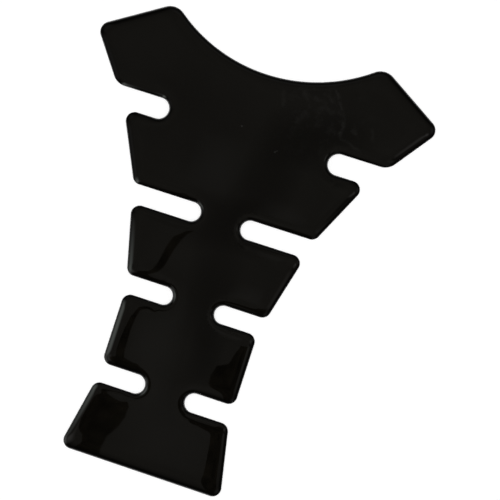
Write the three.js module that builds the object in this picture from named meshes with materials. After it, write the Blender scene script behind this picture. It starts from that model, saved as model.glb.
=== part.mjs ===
import * as THREE from 'three';

// Motorcycle tank pad: a die-cut film with a clear resin dome cast over it, stuck on the fuel tank.
// Millimetres. The pad lies face up: +Z out of the tank, +Y along it towards the filler cap, and
// the pad is the same on both sides of X = 0.

// Lengths along the pad, from the tail up
const tailFinLength = 35;
const tailSlotWidth = 9.5;
const lowerFinLength = 35.5;
const lowerSlotWidth = 9;
const middleFinLength = 33.5;
const middleSlotWidth = 9.5;
const upperFinLength = 33;
const wingSlotWidth = 10.5;
const wingSideLength = 24.5;
const shoulderLength = 26;

// Widths across the pad at each fin's lower and upper end, measured between the sharp corners
const tailFinLowerWidth = 82;
const tailFinUpperWidth = 68;
const lowerFinLowerWidth = 67.5;
const lowerFinUpperWidth = 67.5;
const middleFinLowerWidth = 71;
const middleFinUpperWidth = 88;
const upperFinLowerWidth = 92;
const upperFinUpperWidth = 123.5;
const wingLowerWidth = 138;
const wingSpan = 174;

// What is left of the pad between the round ends of each pair of slots
const tailSpineWidth = 20.5;
const lowerSpineWidth = 21.5;
const middleSpineWidth = 20.5;
const wingSpineWidth = 81;

// The wings' top edges rise towards the tips, and the notch between them clears the filler cap
const wingTopAngle = THREE.MathUtils.degToRad(32);
const notchRadius = 80;

// Corner radii in plan
const finCornerRadius = 4.3;
const wingFootRadius = 8;
const wingCornerRadius = 5;
const wingTipRadius = 8;

// Section: a cut edge of film, then the resin's free surface, as surface tension shapes it
const filmThickness = 0.3;
const domeRise = 1.7;
const capillaryLength = 2;
const flatTopSlope = THREE.MathUtils.degToRad(2.5);

// Facets: how many steps a corner, a slot's end, the notch's half and the resin's edge are made in
const cornerSteps = 6;
const slotEndSteps = 12;
const notchHalfSteps = 12;
const edgeSteps = 9;

const padColour = 0x0d0c0b;
const padRoughness = 0.06;

// The fins from the tail up, each with the slot above it
const fins = [
  {
    length: tailFinLength,
    lowerWidth: tailFinLowerWidth,
    upperWidth: tailFinUpperWidth,
    slotWidth: tailSlotWidth,
    spineWidth: tailSpineWidth,
  },
  {
    length: lowerFinLength,
    lowerWidth: lowerFinLowerWidth,
    upperWidth: lowerFinUpperWidth,
    slotWidth: lowerSlotWidth,
    spineWidth: lowerSpineWidth,
  },
  {
    length: middleFinLength,
    lowerWidth: middleFinLowerWidth,
    upperWidth: middleFinUpperWidth,
    slotWidth: middleSlotWidth,
    spineWidth: middleSpineWidth,
  },
  {
    length: upperFinLength,
    lowerWidth: upperFinLowerWidth,
    upperWidth: upperFinUpperWidth,
    slotWidth: wingSlotWidth,
    spineWidth: wingSpineWidth,
  },
];

// Half outline, from the tail up the +X side: sharp corners to be rounded, and the slots' ends
function halfOutline() {
  const outline = [];
  let y = 0;
  for (const fin of fins) {
    outline.push(corner(fin.lowerWidth / 2, y, finCornerRadius));
    y += fin.length;
    outline.push(corner(fin.upperWidth / 2, y, finCornerRadius));
    outline.push(slotEnd(fin, y));
    y += fin.slotWidth;
  }
  outline.push(corner(wingLowerWidth / 2, y, wingFootRadius));
  outline.push(corner(wingSpan / 2, y + wingSideLength, wingCornerRadius));
  return outline;
}

function corner(x, y, radius) {
  return { kind: 'corner', point: new THREE.Vector2(x, y), radius };
}

function slotEnd(fin, y) {
  const radius = fin.slotWidth / 2;
  return { kind: 'slot', point: new THREE.Vector2(fin.spineWidth / 2 + radius, y + radius), radius };
}

// Level of the wing slot's upper edge, which the notch is measured from
function wingBase() {
  return fins.reduce((sum, fin) => sum + fin.length + fin.slotWidth, 0);
}

// The direction into the pad, square to an edge that runs along the given direction
function inward(direction) {
  return new THREE.Vector2(-direction.y, direction.x);
}

// The edge between two neighbours of the half outline. An edge to or from a slot runs across the pad
function edgeDirection(from, to) {
  if (to.kind === 'slot') {
    return new THREE.Vector2(-1, 0);
  }
  if (from.kind === 'slot') {
    return new THREE.Vector2(1, 0);
  }
  return to.point.clone().sub(from.point).normalize();
}

// An arc of points at a radius round a centre, as a direction turns from one angle to another
function arcPoints(centre, radius, startAngle, endAngle, steps) {
  const points = [];
  for (let step = 0; step <= steps; step += 1) {
    const angle = THREE.MathUtils.lerp(startAngle, endAngle, step / steps);
    const offset = new THREE.Vector2(Math.cos(angle), Math.sin(angle)).multiplyScalar(radius);
    points.push(centre.clone().add(offset));
  }
  return points;
}

// A rounded outer corner. Resin draws back from a corner, so the radius stays as the edge moves in
function cornerArc(sharp, before, after, radius, inset) {
  const intoPad = inward(before).add(inward(after)).divideScalar(1 + before.dot(after));
  const centre = sharp.clone().addScaledVector(intoPad, radius + inset);
  const start = inward(before).negate().angle();
  const turn = Math.acos(THREE.MathUtils.clamp(before.dot(after), -1, 1));
  return arcPoints(centre, radius, start, start + turn, cornerSteps);
}

// The round end of a slot, which grows as the edge moves in
function slotArc(slot, inset) {
  return arcPoints(slot.point, slot.radius + inset, -Math.PI / 2, -1.5 * Math.PI, slotEndSteps);
}

// The wing's tip and the half notch beyond it: the tip's arc touches the wing's top edge and the notch
function tipAndNotch(wingCorner, inset) {
  const along = new THREE.Vector2(-Math.cos(wingTopAngle), Math.sin(wingTopAngle));
  const notchCentre = new THREE.Vector2(0, wingBase() + shoulderLength + notchRadius);
  const notchArcRadius = notchRadius + inset;
  const trackStart = wingCorner.clone().addScaledVector(inward(along), wingTipRadius + inset);
  const fromNotch = trackStart.clone().sub(notchCentre);
  const alongTrack = fromNotch.dot(along);
  const reach = notchArcRadius + wingTipRadius;
  const travel = -alongTrack - Math.sqrt(alongTrack ** 2 - fromNotch.lengthSq() + reach ** 2);
  const tipCentre = trackStart.addScaledVector(along, travel);
  const start = inward(along).negate().angle();
  const towardsNotch = notchCentre.clone().sub(tipCentre).angle();
  const tip = arcPoints(tipCentre, wingTipRadius, start, towardsNotch, cornerSteps);
  const notchStart = tipCentre.clone().sub(notchCentre).angle() - 2 * Math.PI;
  const notch = arcPoints(notchCentre, notchArcRadius, notchStart, -Math.PI / 2, notchHalfSteps);
  return [...tip, ...notch.slice(1)];
}

// One closed ring of the pad in plan, with its edge moved in by the inset
function planRing(inset) {
  const outline = halfOutline();
  const across = new THREE.Vector2(1, 0);
  const wingTop = new THREE.Vector2(-Math.cos(wingTopAngle), Math.sin(wingTopAngle));
  const half = outline.flatMap((item, index) => {
    if (item.kind === 'slot') {
      return slotArc(item, inset);
    }
    const before = index === 0 ? across : edgeDirection(outline[index - 1], item);
    const after = index === outline.length - 1 ? wingTop : edgeDirection(item, outline[index + 1]);
    return cornerArc(item.point, before, after, item.radius, inset);
  });
  half.push(...tipAndNotch(outline.at(-1).point, inset));
  const otherHalf = half.slice(0, -1).reverse().map((point) => new THREE.Vector2(-point.x, point.y));
  return [...half, ...otherHalf];
}

// The free surface of a resin puddle, from its steep edge to its flat top, as inset and height pairs.
// A slope on it fixes how far below the flat top it lies, and how far in from the edge
function resinSection() {
  const level = (slope) => 2 * capillaryLength * Math.sin(slope / 2);
  const distance = (slope) => -capillaryLength * (Math.log(Math.tan(slope / 4)) + 2 * Math.cos(slope / 2));
  const edgeSlope = 2 * Math.asin((domeRise + level(flatTopSlope)) / (2 * capillaryLength));
  const section = [];
  for (let step = 0; step <= edgeSteps; step += 1) {
    const slope = edgeSlope * (flatTopSlope / edgeSlope) ** (step / edgeSteps);
    section.push({
      inset: distance(slope) - distance(edgeSlope),
      height: filmThickness + level(edgeSlope) - level(slope),
    });
  }
  return section;
}

function tankPadGeometry() {
  const section = resinSection();
  const rings = [{ inset: 0, height: 0 }, ...section];
  const outlines = rings.map((ring) => planRing(ring.inset));
  const outerTop = Math.max(...outlines[0].map((point) => point.y));
  const middle = outerTop / 2;
  const positions = [];
  rings.forEach((ring, index) => {
    for (const point of outlines[index]) {
      positions.push(point.x, point.y - middle, ring.height);
    }
  });
  const count = outlines[0].length;
  const faces = [];
  for (let ring = 0; ring < rings.length - 1; ring += 1) {
    for (let point = 0; point < count; point += 1) {
      const next = (point + 1) % count;
      const low = ring * count;
      const high = low + count;
      faces.push(low + point, low + next, high + next);
      faces.push(low + point, high + next, high + point);
    }
  }
  const topStart = (rings.length - 1) * count;
  for (const [a, b, c] of THREE.ShapeUtils.triangulateShape(outlines.at(-1), [])) {
    faces.push(topStart + a, topStart + b, topStart + c);
  }
  for (const [a, b, c] of THREE.ShapeUtils.triangulateShape(outlines[0], [])) {
    faces.push(a, c, b);
  }
  const geometry = new THREE.BufferGeometry();
  geometry.setAttribute('position', new THREE.Float32BufferAttribute(positions, 3));
  geometry.setIndex(faces);
  geometry.computeVertexNormals();
  return geometry;
}

function resinMaterial() {
  return new THREE.MeshStandardMaterial({ color: padColour, roughness: padRoughness, metalness: 0 });
}

const tankPad = new THREE.Group();
const pad = new THREE.Mesh(tankPadGeometry(), resinMaterial());
pad.name = 'tank_pad';
tankPad.add(pad);

export default tankPad;
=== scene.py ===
"""A black domed-resin tank pad, lying face up on a white table under soft studio light."""

import math

import bmesh
import bpy
import numpy as np
from mathutils import Matrix, Vector
from mathutils.geometry import delaunay_2d_cdt


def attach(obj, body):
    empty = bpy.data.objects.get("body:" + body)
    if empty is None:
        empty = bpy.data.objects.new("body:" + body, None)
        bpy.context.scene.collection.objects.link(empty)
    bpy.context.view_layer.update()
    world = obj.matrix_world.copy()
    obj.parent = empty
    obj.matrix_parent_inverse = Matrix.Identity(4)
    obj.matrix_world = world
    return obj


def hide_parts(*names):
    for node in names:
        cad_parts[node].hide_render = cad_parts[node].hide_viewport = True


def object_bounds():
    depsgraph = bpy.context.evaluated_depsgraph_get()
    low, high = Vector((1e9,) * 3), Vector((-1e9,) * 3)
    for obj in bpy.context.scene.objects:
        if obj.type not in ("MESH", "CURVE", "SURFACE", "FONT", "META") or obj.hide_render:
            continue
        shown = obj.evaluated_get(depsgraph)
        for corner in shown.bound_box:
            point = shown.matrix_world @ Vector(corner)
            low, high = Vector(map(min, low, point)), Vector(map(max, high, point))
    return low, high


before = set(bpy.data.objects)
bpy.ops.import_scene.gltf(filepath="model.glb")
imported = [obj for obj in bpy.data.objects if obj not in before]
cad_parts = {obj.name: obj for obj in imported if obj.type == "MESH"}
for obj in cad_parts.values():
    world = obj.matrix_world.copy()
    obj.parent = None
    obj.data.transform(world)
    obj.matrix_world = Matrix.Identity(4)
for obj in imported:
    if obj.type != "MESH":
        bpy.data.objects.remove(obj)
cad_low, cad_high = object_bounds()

MM = 0.001
SAME_PLACE = 0.001 * MM
ON_MIDDLE = 0.01 * MM
LEVEL_FACE = 0.9999

# The resin's free surface. The film's thickness and the dome's height come from the CAD pad
CAPILLARY_LENGTH = 2 * MM
FLAT_SLOPE = math.radians(2.5)

# Round a slot's end the resin levels off sooner: the length that the outline's bend is averaged over, and
# how strongly the bend acts
BEND_BLEND = 2.5 * MM
BEND_EFFECT = 2.0

# How finely the skin is divided. A side longer than the one beside it by the straight ratio is a straight
SECTION_ROWS = 26
STRAIGHT_STEP = 1.5 * MM
STRAIGHT_RATIO = 1.3
ARC_SPLITS = 3
TOP_CELL = 1.4 * MM
TOP_MARGIN = 0.7 * TOP_CELL
SHARP_ANGLE = math.radians(30)

# Slow unevenness of the cured resin
WAVE_HEIGHT = 0.025 * MM
WAVE_LENGTH = 45 * MM

# Marks on the resin, in millimetres. The smear's strokes are the points of a line, its half width and how
# pale it is. The blotches lie within a circle, and a speck of dust is its place and its radius
SMEAR_STROKES = [
    ([(34.2, 94), (37.6, 88.3), (40.8, 82), (42.4, 78), (41.8, 75)], 1.3, 0.011),
    ([(41.8, 75), (43.2, 72.3), (47.5, 71.1), (53.6, 70.2)], 1.2, 0.006),
    ([(25.5, 88), (30.7, 85.8)], 2.0, 0.006),
    ([(29, 90.5), (33.5, 88.5)], 1.5, 0.005),
    ([(30, 84.3), (35.5, 83.2)], 1.6, 0.006),
    ([(9.8, 86.5), (11.6, 79.5)], 1.8, 0.006),
    ([(18, 89.5), (22, 86.5)], 2.8, 0.008),
    ([(20.5, 74.5), (23.5, 78.8)], 2.4, 0.005),
    ([(47.5, 78.5), (49, 76.8)], 1.8, 0.008),
    ([(56, 81), (57.5, 77)], 1.8, 0.005),
    ([(36.8, 78), (36.2, 73.5)], 1.9, 0.005),
]
SMEAR_GRAIN = 230.0
SMEAR_WANDER = 4 * MM
SMEAR_BREAKS = 0.3, 0.6
BLOTCHES = ((33, 80), 32)
BLOTCH_GRAIN = 260.0
BLOTCH_BREAKS = 0.5, 0.75
BLOTCH_PALENESS = 0.006
DUST = [(-4.2, 64, 0.7), (14.8, 56.9, 0.7), (15.6, 57.6, 0.5)]
DUST_PALENESS = 0.03
MARK_HEIGHT = 2

# The looks of the resin and the film. A grain or a cloud is the scale of its noise, in cells a metre
RESIN_CLOUD = 40.0
RESIN_HAZE = 0.35, 0.75
RESIN_ROUGHNESS = 0.03, 0.07
RESIN_IOR = 1.5
RESIN_TINTS = (0.0011, 0.0010, 0.0008, 1), (0.0007, 0.0006, 0.0005, 1)
MARK_COLOUR = (0.5, 0.5, 0.47, 1)
FILM_COLOUR = (0.004, 0.004, 0.004, 1)
FILM_GRAIN = 900.0
FILM_ROUGHNESS = 0.5, 0.7
FILM_BUMP = 0.2
FILM_BUMP_DEPTH = 0.02 * MM

# Camera: a fifty millimetre lens nearly overhead, with the pad turned in its view
LENS = 50
SENSOR = 36
CAMERA_PLACE = Vector((31.1, 7.4, 334.5)) * MM
CAMERA_AIM = Vector((17.8, 8.5, 0)) * MM
CAMERA_TURN = math.radians(17.96)


def add_node(tree, kind, settings=None, **inputs):
    """A node with its settings made and its inputs set or linked. An underscore stands for a space."""
    node = tree.nodes.new(kind)
    for name, value in (settings or {}).items():
        setattr(node, name, value)
    for name, value in inputs.items():
        socket = find_socket(node, name)
        if isinstance(value, bpy.types.NodeSocket):
            tree.links.new(value, socket)
        else:
            socket.default_value = value
    return node


def find_socket(node, name):
    """An input by its name, or by its place where the name is like at2."""
    if name.startswith("at"):
        return node.inputs[int(name[2:])]
    wanted = name.replace("_", " ")
    return next(s for s in node.inputs if s.name == wanted and s.enabled)


def math_node(tree, operation, *values):
    """The result of one sum on numbers or sockets."""
    inputs = {f"at{place}": value for place, value in enumerate(values)}
    return add_node(tree, "ShaderNodeMath", {"operation": operation}, **inputs).outputs[0]


def vector_node(tree, operation, *values, result="Vector"):
    """The result of one sum on vectors. Where that is a number, its name is Value."""
    inputs = {f"at{place}": value for place, value in enumerate(values)}
    return add_node(tree, "ShaderNodeVectorMath", {"operation": operation}, **inputs).outputs[result]


def scaled(tree, vector, scale):
    """A vector times a number."""
    node = add_node(tree, "ShaderNodeVectorMath", {"operation": "SCALE"}, at0=vector, Scale=scale)
    return node.outputs[0]


def height_of(tree, place):
    return add_node(tree, "ShaderNodeSeparateXYZ", Vector=place).outputs["Z"]


def ranged(tree, value, from_range, to_range=(0.0, 1.0), kind="LINEAR"):
    """A value carried over from one range to another, and held inside it."""
    return add_node(
        tree,
        "ShaderNodeMapRange",
        {"interpolation_type": kind},
        Value=value,
        From_Min=from_range[0],
        From_Max=from_range[1],
        To_Min=to_range[0],
        To_Max=to_range[1],
    ).outputs[0]


def mixed(tree, share, first, second):
    """A colour between two, by the share of the second."""
    node = add_node(tree, "ShaderNodeMix", {"data_type": "RGBA"}, at0=share, at6=first, at7=second)
    return node.outputs[2]


def noise_node(tree, place, scale, detail):
    return add_node(tree, "ShaderNodeTexNoise", Vector=place, Scale=scale, Detail=detail).outputs


def object_place(tree):
    return tree.nodes.new("ShaderNodeTexCoord").outputs["Object"]


def mesh_object(name, points, edges=(), faces=()):
    mesh = bpy.data.meshes.new(name)
    mesh.from_pydata([tuple(map(float, p)) for p in points], list(edges), list(faces))
    made = bpy.data.objects.new(name, mesh)
    bpy.context.scene.collection.objects.link(made)
    return made


# The outline, read from the CAD pad


def wall_ring(skin, height):
    """The pad's rim at one height, anticlockwise from the middle of the notch."""
    level = {v for v in skin.verts if abs(v.co.z - height) < SAME_PLACE}
    beside = {v: [] for v in level}
    for edge in skin.edges:
        a, b = edge.verts
        if a in level and b in level and any(abs(f.normal.z) < LEVEL_FACE for f in edge.link_faces):
            beside[a].append(b)
            beside[b].append(a)
    middle = [v for v in level if abs(v.co.x) < ON_MIDDLE]
    here = max(middle, key=lambda v: v.co.y)
    before = max(beside[here], key=lambda v: v.co.x)
    ring = []
    while not ring or here is not ring[0]:
        ring.append(here)
        onward = next(v for v in beside[here] if v is not before)
        before, here = here, onward
    return np.array([v.co.xy for v in ring])


def cad_rings(node):
    """The pad's base ring and flat-top ring in plan, and the height of the film's upper face."""
    skin = bmesh.new()
    skin.from_mesh(node.data)
    bmesh.ops.remove_doubles(skin, verts=skin.verts, dist=SAME_PLACE)
    skin.normal_update()
    heights = sorted({round(v.co.z, 6) for v in skin.verts})
    base = wall_ring(skin, heights[0])
    top = wall_ring(skin, heights[-1])
    skin.free()
    return base, top, heights[1]


def rounded_ring(ring, splits):
    """The ring with each side split, and its facets turned back into the arcs they came from."""
    sides = np.roll(ring, -1, axis=0) - ring
    lengths = np.linalg.norm(sides, axis=1)
    ahead = sides / lengths[:, None]
    behind = np.roll(ahead, 1, axis=0)
    back_length = np.roll(lengths, 1)
    tangent = ahead + behind
    straight_ahead = lengths > STRAIGHT_RATIO * back_length
    straight_behind = back_length > STRAIGHT_RATIO * lengths
    tangent[straight_ahead] = ahead[straight_ahead]
    tangent[straight_behind] = behind[straight_behind]
    tangent /= np.linalg.norm(tangent, axis=1)[:, None]
    points = []
    for i, count in enumerate(splits):
        j = (i + 1) % len(ring)
        for step in range(count):
            t = step / count
            start = (1 + 2 * t) * (1 - t) ** 2 * ring[i] + t * (1 - t) ** 2 * lengths[i] * tangent[i]
            end = t * t * (3 - 2 * t) * ring[j] - t * t * (1 - t) * lengths[i] * tangent[j]
            points.append(start + end)
    return np.array(points)


def side_splits(ring):
    """How many parts each side of a ring is split in: a few on an arc, more on a long straight."""
    lengths = np.linalg.norm(np.roll(ring, -1, axis=0) - ring, axis=1)
    return [max(ARC_SPLITS, math.ceil(length / STRAIGHT_STEP)) for length in lengths]


# The shape: a cut edge of film, the resin's curved edge, and a top that settles flat


def levelled_ring(base, top):
    """The flat top's ring, drawn nearer to the edge round the slots' ends, where resin levels off sooner."""
    ahead = np.roll(base, -1, axis=0) - base
    behind = np.roll(ahead, 1, axis=0)
    cross = behind[:, 0] * ahead[:, 1] - behind[:, 1] * ahead[:, 0]
    turns = np.arctan2(cross, (behind * ahead).sum(axis=1))
    lengths = np.linalg.norm(ahead, axis=1)
    spans = (lengths + np.roll(lengths, 1)) / 2
    along = np.cumsum(lengths) - lengths
    apart = np.abs(along[:, None] - along[None])
    apart = np.minimum(apart, lengths.sum() - apart)
    weights = np.exp(-0.5 * (apart / BEND_BLEND) ** 2)
    bend = (weights @ turns) / (weights @ spans)
    share = 1 / (1 + BEND_EFFECT * CAPILLARY_LENGTH * np.maximum(0, -bend))
    return base + (top - base) * share[:, None]


def resin_section(film, height):
    """Rows of the resin's edge as (share of the way in, height), from the table up."""
    scale = 2 * CAPILLARY_LENGTH
    edge_slope = 2 * math.asin((height - film) / scale)

    def distance(slope):
        return -CAPILLARY_LENGTH * (math.log(math.tan(slope / 4)) + 2 * math.cos(slope / 2))

    reach = distance(FLAT_SLOPE) - distance(edge_slope)
    rows = [(0, 0)]
    for row in range(SECTION_ROWS + 1):
        slope = edge_slope * (FLAT_SLOPE / edge_slope) ** (row / SECTION_ROWS)
        share = (distance(slope) - distance(edge_slope)) / reach
        rows.append((share, height - scale * math.sin(slope / 2)))
    return rows


def inside(points, ring):
    """Which points lie inside the ring."""
    x, y = points[:, None, 0], points[:, None, 1]
    x1, y1 = ring[:, 0], ring[:, 1]
    x2, y2 = np.roll(x1, -1), np.roll(y1, -1)
    spans = (y1 > y) != (y2 > y)
    rise = np.where(y2 == y1, 1, y2 - y1)
    crossing = x1 + (y - y1) * (x2 - x1) / rise
    return (spans & (x < crossing)).sum(axis=1) % 2 == 1


def flat_top(ring):
    """A flat sheet of even triangles that fills the ring."""
    low, high = ring.min(axis=0), ring.max(axis=0)
    rows = np.arange(low[1], high[1], TOP_CELL * math.sqrt(3) / 2)
    cells = []
    for number, y in enumerate(rows):
        xs = np.arange(low[0] + (number % 2) * TOP_CELL / 2, high[0], TOP_CELL)
        cells.extend((x, y) for x in xs)
    cells = np.array(cells)
    cells = cells[inside(cells, ring)]
    gaps = np.linalg.norm(cells[:, None] - ring[None], axis=2).min(axis=1)
    cells = cells[gaps > TOP_MARGIN]
    points = [Vector(p) for p in np.vstack([ring, cells])]
    rim = list(range(len(ring)))
    inside_only = 1
    precision = 1e-9
    made = delaunay_2d_cdt(points, [], [rim], inside_only, precision)
    return mesh_object("pad_top_sheet", [(p.x, p.y, 0) for p in made[0]], faces=made[2])


def outline_object(base, top):
    """The base ring as a loop of edges, each point knowing the way to the flat top's edge."""
    count = len(base)
    edges = [(i, (i + 1) % count) for i in range(count)]
    made = mesh_object("pad_outline", [(x, y, 0) for x, y in base], edges)
    way = made.data.attributes.new("way_in", "FLOAT_VECTOR", "POINT")
    flat = np.column_stack([top - base, np.zeros(count)]).astype(np.float32)
    way.data.foreach_set("vector", flat.ravel())
    return made


def resin_dome_tree():
    """Lofts the resin's section round the outline and lets the top settle inside it."""
    tree = bpy.data.node_groups.new("Resin dome on die-cut film", "GeometryNodeTree")
    inputs = {
        "Top sheet": "NodeSocketGeometry",
        "Outline": "NodeSocketObject",
        "Section": "NodeSocketObject",
        "Film thickness": "NodeSocketFloat",
        "Dome height": "NodeSocketFloat",
        "Capillary length": "NodeSocketFloat",
        "Edge drop": "NodeSocketFloat",
        "Wave height": "NodeSocketFloat",
        "Wave length": "NodeSocketFloat",
        "Resin": "NodeSocketMaterial",
        "Film": "NodeSocketMaterial",
    }
    for name, kind in inputs.items():
        tree.interface.new_socket(name=name, in_out="INPUT", socket_type=kind)
    tree.interface.new_socket(name="Pad", in_out="OUTPUT", socket_type="NodeSocketGeometry")
    given = tree.nodes.new("NodeGroupInput").outputs
    joined = tree.nodes.new("GeometryNodeJoinGeometry")
    for part in (resin_edge(tree, given), settled_top(tree, given), film_back(tree, given)):
        tree.links.new(part, joined.inputs[0])
    pad = add_node(tree, "GeometryNodeMergeByDistance", Geometry=joined.outputs[0], Distance=SAME_PLACE)
    pad = slow_waves(tree, given, pad.outputs[0])
    pad = finished_skin(tree, given, pad)
    add_node(tree, "NodeGroupOutput", at0=pad)
    return tree


def object_geometry(tree, socket):
    return add_node(tree, "GeometryNodeObjectInfo", Object=socket).outputs["Geometry"]


def point_count(tree, geometry):
    return add_node(tree, "GeometryNodeAttributeDomainSize", Geometry=geometry).outputs["Point Count"]


def point_place(tree):
    return tree.nodes.new("GeometryNodeInputPosition").outputs[0]


def lifted(tree, geometry, rise):
    """The geometry with each point raised."""
    offset = add_node(tree, "ShaderNodeCombineXYZ", Z=rise).outputs[0]
    return add_node(tree, "GeometryNodeSetPosition", Geometry=geometry, Offset=offset).outputs[0]


def sampled_vector(tree, geometry, value, index):
    settings = {"data_type": "FLOAT_VECTOR", "domain": "POINT"}
    node = add_node(tree, "GeometryNodeSampleIndex", settings, Geometry=geometry, Value=value, Index=index)
    return node.outputs[0]


def resin_edge(tree, given):
    """A grid of section rows by outline points, wrapped round the pad and facing out."""
    outline = object_geometry(tree, given["Outline"])
    section = object_geometry(tree, given["Section"])
    columns = point_count(tree, outline)
    rows = point_count(tree, section)
    last_row = math_node(tree, "SUBTRACT", rows, 1)
    grid = add_node(
        tree,
        "GeometryNodeMeshGrid",
        Size_X=last_row,
        Size_Y=columns,
        Vertices_X=rows,
        Vertices_Y=math_node(tree, "ADD", columns, 1),
    ).outputs["Mesh"]
    place = point_place(tree)
    split = add_node(tree, "ShaderNodeSeparateXYZ", Vector=place).outputs
    inward = math_node(tree, "ADD", split["X"], math_node(tree, "DIVIDE", last_row, 2))
    along = math_node(tree, "ADD", split["Y"], math_node(tree, "DIVIDE", columns, 2))
    row = math_node(tree, "ROUND", inward)
    column = math_node(tree, "MODULO", math_node(tree, "ROUND", along), columns)
    vectors = {"data_type": "FLOAT_VECTOR"}
    way = add_node(tree, "GeometryNodeInputNamedAttribute", vectors, Name="way_in").outputs[0]
    base_point = sampled_vector(tree, outline, place, column)
    way_in = sampled_vector(tree, outline, way, column)
    section_point = sampled_vector(tree, section, place, row)
    section_split = add_node(tree, "ShaderNodeSeparateXYZ", Vector=section_point).outputs
    step_in = scaled(tree, way_in, section_split["X"])
    lift = add_node(tree, "ShaderNodeCombineXYZ", Z=section_split["Z"]).outputs[0]
    moved = vector_node(tree, "ADD", vector_node(tree, "ADD", base_point, step_in), lift)
    wrapped = add_node(tree, "GeometryNodeSetPosition", Geometry=grid, Position=moved).outputs[0]
    return add_node(tree, "GeometryNodeFlipFaces", Mesh=wrapped).outputs[0]


def settled_top(tree, given):
    """The top sheet, which rises to the dome's height as the pull of its edge dies away."""
    sheet = given["Top sheet"]
    neighbours = tree.nodes.new("GeometryNodeInputMeshEdgeNeighbors").outputs[0]
    equal = {"data_type": "INT", "operation": "EQUAL"}
    on_rim = add_node(tree, "FunctionNodeCompare", equal, at2=neighbours, at3=1).outputs[0]
    edges = {"domain": "EDGE"}
    rim = add_node(tree, "GeometryNodeSeparateGeometry", edges, Geometry=sheet, Selection=on_rim).outputs[0]
    near = add_node(tree, "GeometryNodeProximity", {"target_element": "EDGES"}, Geometry=rim)
    reach = math_node(tree, "DIVIDE", near.outputs["Distance"], given["Capillary length"])
    fading = math_node(tree, "EXPONENT", math_node(tree, "MULTIPLY", reach, -1))
    drop = math_node(tree, "MULTIPLY", given["Edge drop"], fading)
    return lifted(tree, sheet, math_node(tree, "SUBTRACT", given["Dome height"], drop))


def film_back(tree, given):
    """The flat back, facing down."""
    outline = object_geometry(tree, given["Outline"])
    line = add_node(tree, "GeometryNodeMeshToCurve", Mesh=outline).outputs[0]
    face = add_node(tree, "GeometryNodeFillCurve", Curve=line).outputs[0]
    return add_node(tree, "GeometryNodeFlipFaces", Mesh=face).outputs[0]


def slow_waves(tree, given, pad):
    """A faint slow unevenness of the dome, none at the film."""
    place = point_place(tree)
    share = ranged(tree, height_of(tree, place), (given["Film thickness"], given["Dome height"]))
    scale = math_node(tree, "DIVIDE", 1, given["Wave length"])
    wave = math_node(tree, "SUBTRACT", noise_node(tree, place, scale, 0.0)[0], 0.5)
    rise = math_node(tree, "MULTIPLY", math_node(tree, "MULTIPLY", wave, share), given["Wave height"])
    return lifted(tree, pad, rise)


def finished_skin(tree, given, pad):
    """Resin on top and film below it, smooth but for the film's cut edges."""
    is_film = math_node(tree, "LESS_THAN", height_of(tree, point_place(tree)), given["Film thickness"])
    angle = tree.nodes.new("GeometryNodeInputMeshEdgeAngle").outputs["Unsigned Angle"]
    sharp = math_node(tree, "GREATER_THAN", angle, SHARP_ANGLE)
    smooth = math_node(tree, "SUBTRACT", 1, sharp)
    for domain, shade in (("FACE", True), ("EDGE", smooth)):
        settings = {"domain": domain}
        shaded = add_node(tree, "GeometryNodeSetShadeSmooth", settings, Geometry=pad, Shade_Smooth=shade)
        pad = shaded.outputs[0]
    pad = add_node(tree, "GeometryNodeRealizeInstances", Geometry=pad).outputs[0]
    pad = add_node(tree, "GeometryNodeSetMaterial", Geometry=pad, Material=given["Resin"]).outputs[0]
    film = given["Film"]
    pad = add_node(tree, "GeometryNodeSetMaterial", Geometry=pad, Selection=is_film, Material=film)
    return pad.outputs[0]


def set_input(modifier, name, value):
    """Sets a modifier's input by the identifier of the socket of that name."""
    items = modifier.node_group.interface.items_tree
    socket = next(i for i in items if i.name == name and i.in_out == "INPUT")
    modifier[socket.identifier] = value


def tank_pad(resin, film):
    """The finished pad as one piece, drawn round the outline of the CAD pad."""
    base, top, film_height = cad_rings(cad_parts["tank_pad"])
    splits = side_splits(base)
    base, top = rounded_ring(base, splits), rounded_ring(top, splits)
    top = levelled_ring(base, top)
    rows = resin_section(film_height, cad_high.z)
    outline = outline_object(base, top)
    section = mesh_object("resin_section", [(share, 0, height) for share, height in rows])
    sheet = flat_top(top)
    modifier = sheet.modifiers.new("Resin dome", "NODES")
    modifier.node_group = resin_dome_tree()
    inputs = {
        "Outline": outline,
        "Section": section,
        "Film thickness": film_height,
        "Dome height": cad_high.z,
        "Capillary length": CAPILLARY_LENGTH,
        "Edge drop": cad_high.z - rows[-1][1],
        "Wave height": WAVE_HEIGHT,
        "Wave length": WAVE_LENGTH,
        "Resin": resin,
        "Film": film,
    }
    for name, value in inputs.items():
        set_input(modifier, name, value)
    graph = bpy.context.evaluated_depsgraph_get()
    mesh = bpy.data.meshes.new_from_object(sheet.evaluated_get(graph), depsgraph=graph)
    for helper in (outline, section, sheet):
        bpy.data.objects.remove(helper)
    mesh.name = "domed_tank_pad"
    piece = bpy.data.objects.new("domed_tank_pad", mesh)
    bpy.context.scene.collection.objects.link(piece)
    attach(piece, "root")
    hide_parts("tank_pad")


# Materials


def new_material(name):
    material = bpy.data.materials.new(name)
    material.use_nodes = True
    material.node_tree.nodes.clear()
    return material, material.node_tree


def on_resin(place):
    """A place given in millimetres, as a point at the height of the resin's top."""
    return Vector((*place, MARK_HEIGHT)) * MM


def faded(tree, away, radius):
    """One where a distance is nought, falling smoothly to nought at a radius given in millimetres."""
    return ranged(tree, away, (radius * MM, 0.0), kind="SMOOTHSTEP")


def soft_spot(tree, place, centre, radius):
    """One at a centre given in millimetres, falling smoothly to nought at a radius."""
    away = vector_node(tree, "DISTANCE", place, on_resin(centre), result="Value")
    return faded(tree, away, radius)


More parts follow.
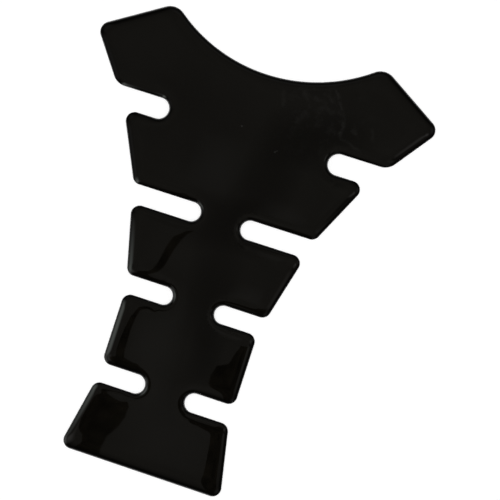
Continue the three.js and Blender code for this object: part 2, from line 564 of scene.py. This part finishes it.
def stroke(tree, place, points, half_width):
    """One along a line through points given in millimetres, falling smoothly to nought at its sides."""
    nearest = 1.0
    for first, second in zip(points, points[1:]):
        start = on_resin(first)
        along = Vector((second[0] - first[0], second[1] - first[1], 0)) * MM
        from_start = vector_node(tree, "SUBTRACT", place, start)
        share = vector_node(tree, "DOT_PRODUCT", from_start, along / along.length_squared, result="Value")
        held = add_node(tree, "ShaderNodeClamp", Value=share).outputs[0]
        away = vector_node(tree, "DISTANCE", from_start, scaled(tree, along, held), result="Value")
        nearest = math_node(tree, "MINIMUM", nearest, away)
    return faded(tree, nearest, half_width)


def smear_strokes(tree, place):
    """The smear's pale strokes, which wander a little and break up."""
    noise = noise_node(tree, place, SMEAR_GRAIN, 2.0)
    off_middle = vector_node(tree, "SUBTRACT", noise["Color"], (0.5, 0.5, 0.5))
    wandering = vector_node(tree, "ADD", place, scaled(tree, off_middle, SMEAR_WANDER))
    strokes = 0.0
    for points, half_width, paleness in SMEAR_STROKES:
        line = math_node(tree, "MULTIPLY", stroke(tree, wandering, points, half_width), paleness)
        strokes = math_node(tree, "ADD", strokes, line)
    return math_node(tree, "MULTIPLY", strokes, ranged(tree, noise[0], SMEAR_BREAKS))


def smear_blotches(tree, place):
    """Small pale blotches among the strokes."""
    cloud = noise_node(tree, place, BLOTCH_GRAIN, 2.0)[0]
    blotches = ranged(tree, cloud, BLOTCH_BREAKS)
    blotches = math_node(tree, "MULTIPLY", blotches, soft_spot(tree, place, *BLOTCHES))
    return math_node(tree, "MULTIPLY", blotches, BLOTCH_PALENESS)


def resin_marks(tree, place):
    """Pale marks on the resin: a dried smear at the root of the right wing, and dust."""
    marks = math_node(tree, "ADD", smear_strokes(tree, place), smear_blotches(tree, place))
    for x, y, radius in DUST:
        speck = soft_spot(tree, place, (x, y), radius)
        marks = math_node(tree, "ADD", marks, math_node(tree, "MULTIPLY", speck, DUST_PALENESS))
    return marks


def black_domed_resin():
    """Clear cast resin over black film: a deep gloss with faint haze, a dried smear and dust."""
    material, tree = new_material("clear resin dome over black film")
    place = object_place(tree)
    cloud = noise_node(tree, place, RESIN_CLOUD, 3.0)[0]
    haze = ranged(tree, cloud, RESIN_HAZE, RESIN_ROUGHNESS)
    tint = mixed(tree, cloud, *RESIN_TINTS)
    colour = mixed(tree, resin_marks(tree, place), tint, MARK_COLOUR)
    shader = add_node(tree, "ShaderNodeBsdfPrincipled", Base_Color=colour, Roughness=haze, IOR=RESIN_IOR)
    add_node(tree, "ShaderNodeOutputMaterial", at0=shader.outputs[0])
    return material


def black_film():
    """The film's cut edge and back: matt black, finely rough."""
    material, tree = new_material("black cut film")
    grain = noise_node(tree, object_place(tree), FILM_GRAIN, 2.0)[0]
    rough = ranged(tree, grain, (0.0, 1.0), FILM_ROUGHNESS)
    bump = add_node(tree, "ShaderNodeBump", Height=grain, Strength=FILM_BUMP, Distance=FILM_BUMP_DEPTH)
    shader = add_node(
        tree,
        "ShaderNodeBsdfPrincipled",
        Base_Color=FILM_COLOUR,
        Roughness=rough,
        Normal=bump.outputs[0],
    )
    add_node(tree, "ShaderNodeOutputMaterial", at0=shader.outputs[0])
    return material


# Studio: a table that is lifted to white where it is looked at, more so far from the pad, and a lamp

FLOOR_SIZE = 6.0
FLOOR_DROP = 0.02 * MM
FLOOR_COLOUR = (0.82, 0.82, 0.82, 1)
FLOOR_LIFT = 0.25, 0.6
FLOOR_LIFT_DISTANCE = 0.3, 1.2
WORLD_STRENGTH = 0.6, 1.0
LAMP_SIZE = 2.0
LAMP_HEIGHT = 1.6
LAMP_WATTS = 14

# A grey tent, seen only in the gloss. Its angles are from straight overhead
TENT_RADIUS = 1.5
TENT_RINGS = 24
TENT_SIDES = 64
TENT_FULL_ABOVE = math.radians(24)
TENT_DARK_BELOW = math.radians(62)
TENT_TOP = (0.146, 0.137, 0.119, 1)
TENT_LOW = (0.008, 0.008, 0.008, 1)
TENT_CLOUD = 5.0
TENT_UNEVENNESS = 0.75, 1.25
HORIZON_STARTS = math.radians(67)
HORIZON_FULL = math.radians(82)
HORIZON = (0.2, 0.2, 0.196, 1)

# Soft cards, seen only in the gloss: centre, half across and half upward in metres, how much they glow and
# how much they dim, how softly they end, and their tint
CARD_TINT = (1, 1, 0.97)
WINDOW_TINT = (0.93, 1.0, 0.93)
SOFT_CARDS = {
    "left_window": ((-0.12, -0.07, 0.083), (0, 0.066, 0), (0, 0, 0.08), 1.3, 0, 1.6, WINDOW_TINT),
    "left_corner": ((-0.14, -0.17, 0.05), (0.02, -0.05, 0), (0, 0, 0.05), 0.9),
    "left_front": ((-0.25, -0.28, 0.32), (0.06, -0.06, 0), (0, 0, 0.26), 0.4, 0, 1.5),
    "left_wall": ((-0.9, -0.25, 0.7), (0, 0.5, 0), (0, 0, 0.6), 0.15, 0, 2.0),
    "left_back": ((-0.85, 0.5, 0.75), (0.15, 0.26, 0), (0, 0, 0.42), 0.09, 0, 1.5),
    "right_back": ((0.85, 0.45, 0.75), (-0.14, 0.26, 0), (0, 0, 0.42), 0.15, 0, 1.5),
    "back_wall": ((-0.1, 0.95, 0.8), (0.5, 0, 0), (0, 0, 0.42), 0.09, 0, 1.5),
    "right_front": ((0.62, -0.72, 0.7), (0.22, 0.2, 0), (0, 0, 0.4), 0.12, 0, 1.5),
    "right_strip": ((0.66, -0.215, 1.0), (0.32, -0.1, 0), (0, 0.1, 0), 0.12),
    "right_flag": ((0.62, -0.07, 0.95), (0.25, -0.07, 0), (0, 0.09, 0), 0, 0.65),
    "right_spot": ((0.54, 0.085, 1.0), (0.13, -0.1, 0), (0.05, 0.06, 0), 0.2),
    "right_glint": ((0.62, 0.2, 0.97), (0.14, 0, 0), (0, 0.11, 0), 0.4),
}

# See-through dark sheets close over the pad, seen only in the gloss. Their corners are given in millimetres
# where the camera sees them mirrored on the pad. The boom is a line of places and widths
CARD_HEIGHT = 0.1
MIRROR_REACH = 1 + CARD_HEIGHT / CAMERA_PLACE.z
DARK_CARD = (0.27, 0.24, 0.185)
DARK_CLOUD = 70.0
DARK_BREAKS = 0.3, 0.7
DARK_UNEVENNESS = 0.5, 1.9
DARK_BOOM = [
    (-13.6, 12.5, 2.5),
    (-15.4, 8.5, 3.5),
    (-17, 4, 4),
    (-19, -3, 4),
    (-20.5, -11, 3.5),
    (-22.5, -20, 3),
    (-24.7, -29, 3),
    (-27.5, -38, 4.5),
]
DARK_PANEL_LEFT = [
    (-30, -37),
    (-33, -44),
    (-37, -51),
    (-38, -57),
    (-35, -62),
    (-35, -69),
    (-44, -74),
    (-53, -79),
    (-60, -85),
    (-60, -91),
    (-52, -95),
    (-42, -98),
    (-35, -102),
    (-33, -110),
    (-36, -128),
    (-40, -160),
    (-44, -190),
    (-24, -190),
    (-25, -160),
    (-22.5, -130),
    (-21, -106),
    (-20, -98),
    (-16, -91),
    (-14.5, -86),
    (-15, -79),
    (-18, -73),
    (-22, -68),
    (-24.5, -64),
    (-25.5, -60),
    (-26.5, -45),
    (-25, -37),
]
DARK_PANEL_RIGHT = [
    (33, -32),
    (31, -38),
    (27, -46),
    (20, -49),
    (18.5, -55),
    (19, -62),
    (20.5, -68),
    (25, -73),
    (29, -77),
    (30.5, -84),
    (31, -95),
    (30.5, -110),
    (32, -125),
    (34, -145),
    (38, -165),
    (40, -190),
    (75, -190),
    (70, -130),
    (66, -100),
    (66, -33),
    (45, -31),
]

# Soft patches in the gloss of the face: where they are mirrored on the pad (x, y), their half sizes and
# their lean in degrees, then how much they dim and how much they glow
SOFT_PATCHES = [
    (34, 68, 28, 16, 8, 0.33, 0),
    (16, 44, 16, 32, -8, 0.3, 0),
    (2, 17, 22, 15, 8, 0.38, 0),
    (6, -14, 14, 30, 5, 0.3, 0),
    (13, -46, 9, 20, 5, 0.3, 0),
    (-9, 42, 15, 17, 0, 0, 0.04),
    (-12, -50, 14, 32, 5, 0, 0.04),
    (28, 24, 13, 12, 0, 0, 0.04),
    (25, -17, 11, 10, 0, 0, 0.05),
    (6, -88, 28, 24, 0, 0, 0.04),
]


def seen_directly(tree):
    """One where a camera, glossy or transmission ray looks, and nought for soft light."""
    path = tree.nodes.new("ShaderNodeLightPath").outputs
    either = math_node(tree, "MAXIMUM", path["Is Camera Ray"], path["Is Glossy Ray"])
    return math_node(tree, "MAXIMUM", either, path["Is Transmission Ray"])


def white_floor():
    half = FLOOR_SIZE / 2
    corners = [(-half, -half), (half, -half), (half, half), (-half, half)]
    floor = mesh_object("floor", [(x, y, -FLOOR_DROP) for x, y in corners], faces=[(0, 1, 2, 3)])
    material, tree = new_material("white table")
    cover = add_node(tree, "ShaderNodeBsdfDiffuse", Color=FLOOR_COLOUR).outputs[0]
    away = vector_node(tree, "LENGTH", object_place(tree), result="Value")
    lift = ranged(tree, away, FLOOR_LIFT_DISTANCE, FLOOR_LIFT)
    strength = math_node(tree, "MULTIPLY", seen_directly(tree), lift)
    glow = add_node(tree, "ShaderNodeEmission", Strength=strength).outputs[0]
    both = add_node(tree, "ShaderNodeAddShader", at0=cover, at1=glow).outputs[0]
    add_node(tree, "ShaderNodeOutputMaterial", at0=both)
    floor.data.materials.append(material)


def studio_world():
    """White where it is looked at, and a softer white as light."""
    world = bpy.data.worlds.new("white studio")
    world.use_nodes = True
    tree = world.node_tree
    tree.nodes.clear()
    strength = ranged(tree, seen_directly(tree), (0.0, 1.0), WORLD_STRENGTH)
    ground = add_node(tree, "ShaderNodeBackground", Color=(1, 1, 1, 1), Strength=strength).outputs[0]
    add_node(tree, "ShaderNodeOutputWorld", at0=ground)
    bpy.context.scene.world = world


def overhead_lamp():
    lamp = bpy.data.lights.new("overhead soft lamp", "AREA")
    lamp.shape = "SQUARE"
    lamp.size = LAMP_SIZE
    lamp.energy = LAMP_WATTS
    made = bpy.data.objects.new("overhead_soft_lamp", lamp)
    made.location = (0, 0, LAMP_HEIGHT)
    made.visible_glossy = False
    bpy.context.scene.collection.objects.link(made)


def glossy_only(name, points, faces, shader_of):
    """A sheet of the studio that shows only in gloss: it hides and lights nothing else."""
    sheet = mesh_object(name, points, faces=faces)
    material, tree = new_material(name)
    add_node(tree, "ShaderNodeOutputMaterial", at0=shader_of(tree))
    sheet.data.materials.append(material)
    sheet.visible_camera = False
    sheet.visible_diffuse = False
    sheet.visible_shadow = False


def grey_tent():
    """A dome round the table: dim and warm overhead, dark lower down, and lighter again at the horizon."""
    points, faces = [], []
    for ring in range(TENT_RINGS + 1):
        lean = math.pi / 2 * ring / TENT_RINGS
        across = TENT_RADIUS * math.sin(lean)
        for step in range(TENT_SIDES):
            turn = 2 * math.pi * step / TENT_SIDES
            points.append((across * math.cos(turn), across * math.sin(turn), TENT_RADIUS * math.cos(lean)))
    for ring in range(TENT_RINGS):
        near, far = ring * TENT_SIDES, (ring + 1) * TENT_SIDES
        for step in range(TENT_SIDES):
            onward = (step + 1) % TENT_SIDES
            faces.append((near + step, near + onward, far + onward, far + step))
    glossy_only("grey_tent", points, faces, tent_glow)


def tent_glow(tree):
    place = object_place(tree)
    height = height_of(tree, place)

    def between(first_angle, second_angle):
        ends = TENT_RADIUS * math.cos(first_angle), TENT_RADIUS * math.cos(second_angle)
        return ranged(tree, height, ends, kind="SMOOTHSTEP")

    colour = mixed(tree, between(TENT_DARK_BELOW, TENT_FULL_ABOVE), TENT_LOW, TENT_TOP)
    colour = mixed(tree, between(HORIZON_STARTS, HORIZON_FULL), colour, HORIZON)
    cloud = noise_node(tree, place, TENT_CLOUD, 3.0)[0]
    uneven = ranged(tree, cloud, (0.0, 1.0), TENT_UNEVENNESS)
    return add_node(tree, "ShaderNodeEmission", Color=colour, Strength=uneven).outputs[0]


def soft_card(name, centre, across, upward, glow, dim=0.0, softness=1.0, tint=CARD_TINT):
    """A card that glows, or dims what is behind it, in its middle and fades to nothing at its edges."""
    centre, across, upward = Vector(centre), Vector(across), Vector(upward)
    corners = [
        centre - across - upward,
        centre + across - upward,
        centre + across + upward,
        centre - across + upward,
    ]
    # Two steps that tell how far out a point is each way, from nought in the middle to one at the edge
    normal = across.cross(upward)
    sideways = upward.cross(normal)
    upwards = normal.cross(across)
    steps = sideways / sideways.dot(across), upwards / upwards.dot(upward)

    def shader_of(tree):
        from_centre = vector_node(tree, "SUBTRACT", object_place(tree), centre)
        fades = []
        for step in steps:
            share = vector_node(tree, "DOT_PRODUCT", from_centre, step, result="Value")
            fades.append(math_node(tree, "SUBTRACT", 1, math_node(tree, "MULTIPLY", share, share)))
        fade = math_node(tree, "POWER", math_node(tree, "MULTIPLY", *fades), softness)
        strength = math_node(tree, "MULTIPLY", fade, glow)
        light = add_node(tree, "ShaderNodeEmission", Color=(*tint, 1), Strength=strength).outputs[0]
        left = math_node(tree, "SUBTRACT", 1, math_node(tree, "MULTIPLY", fade, dim))
        clear = add_node(tree, "ShaderNodeBsdfTransparent", Color=left).outputs[0]
        return add_node(tree, "ShaderNodeAddShader", at0=light, at1=clear).outputs[0]

    glossy_only(name, corners, [(0, 1, 2, 3)], shader_of)


def mirrored(x, y):
    """The point at the cards' height that the camera sees mirrored at (x, y) on the pad's flat top."""
    foot = CAMERA_PLACE.xy
    place = foot + (Vector((x, y)) * MM - foot) * MIRROR_REACH
    return place.x, place.y, CARD_HEIGHT


def soft_patches():
    """The soft patches, each a little higher than the one before."""
    for number, (x, y, half_x, half_y, lean, dim, glow) in enumerate(SOFT_PATCHES, start=1):
        centre = Vector(mirrored(x, y)) + Vector((0, 0, number * MM))
        turn = Matrix.Rotation(math.radians(lean), 3, "Z")
        across = turn @ Vector((half_x, 0, 0)) * MM * MIRROR_REACH
        upward = turn @ Vector((0, half_y, 0)) * MM * MIRROR_REACH
        soft_card(f"soft_patch_{number}", centre, across, upward, glow, dim)


def dark_strip(name, line):
    """A dark strip along a line of (x, y, width), given by where it is mirrored on the pad."""
    points = []
    for number, (x, y, width) in enumerate(line):
        before = line[max(number - 1, 0)]
        after = line[min(number + 1, len(line) - 1)]
        along = Vector((after[0] - before[0], after[1] - before[1])).normalized()
        out = Vector((-along.y, along.x)) * width / 2
        points.append(mirrored(x + out.x, y + out.y))
        points.append(mirrored(x - out.x, y - out.y))
    faces = [(2 * i, 2 * i + 2, 2 * i + 3, 2 * i + 1) for i in range(len(line) - 1)]
    glossy_only(name, points, faces, dark_card)


def dark_card(tree):
    """A see-through dark sheet, a little uneven, that dims what is behind it."""
    cloud = noise_node(tree, object_place(tree), DARK_CLOUD, 3.0)[0]
    left = scaled(tree, DARK_CARD, ranged(tree, cloud, DARK_BREAKS, DARK_UNEVENNESS))
    return add_node(tree, "ShaderNodeBsdfTransparent", Color=left).outputs[0]


def dark_panel(name, corners):
    """A dark panel, given by where its corners are mirrored on the pad."""
    points = [mirrored(x, y) for x, y in corners]
    glossy_only(name, points, [tuple(range(len(points)))], dark_card)


def studio_gloss():
    grey_tent()
    for name, card in SOFT_CARDS.items():
        soft_card(name, *card)
    dark_strip("dark_boom", DARK_BOOM)
    dark_panel("dark_panel_left", DARK_PANEL_LEFT)
    dark_panel("dark_panel_right", DARK_PANEL_RIGHT)
    soft_patches()


def studio_camera():
    camera = bpy.data.cameras.new("camera")
    camera.lens = LENS
    camera.sensor_width = SENSOR
    made = bpy.data.objects.new("camera", camera)
    back = (CAMERA_PLACE - CAMERA_AIM).normalized()
    up = Vector((-math.sin(CAMERA_TURN), math.cos(CAMERA_TURN), 0))
    side = up.cross(back).normalized()
    up = back.cross(side)
    turn = Matrix((side, up, back)).transposed()
    made.matrix_world = Matrix.Translation(CAMERA_PLACE) @ turn.to_4x4()
    bpy.context.scene.collection.objects.link(made)
    bpy.context.scene.camera = made


tank_pad(black_domed_resin(), black_film())
white_floor()
studio_world()
overhead_lamp()
studio_gloss()
studio_camera()
bpy.context.scene.view_settings.view_transform = "Standard"
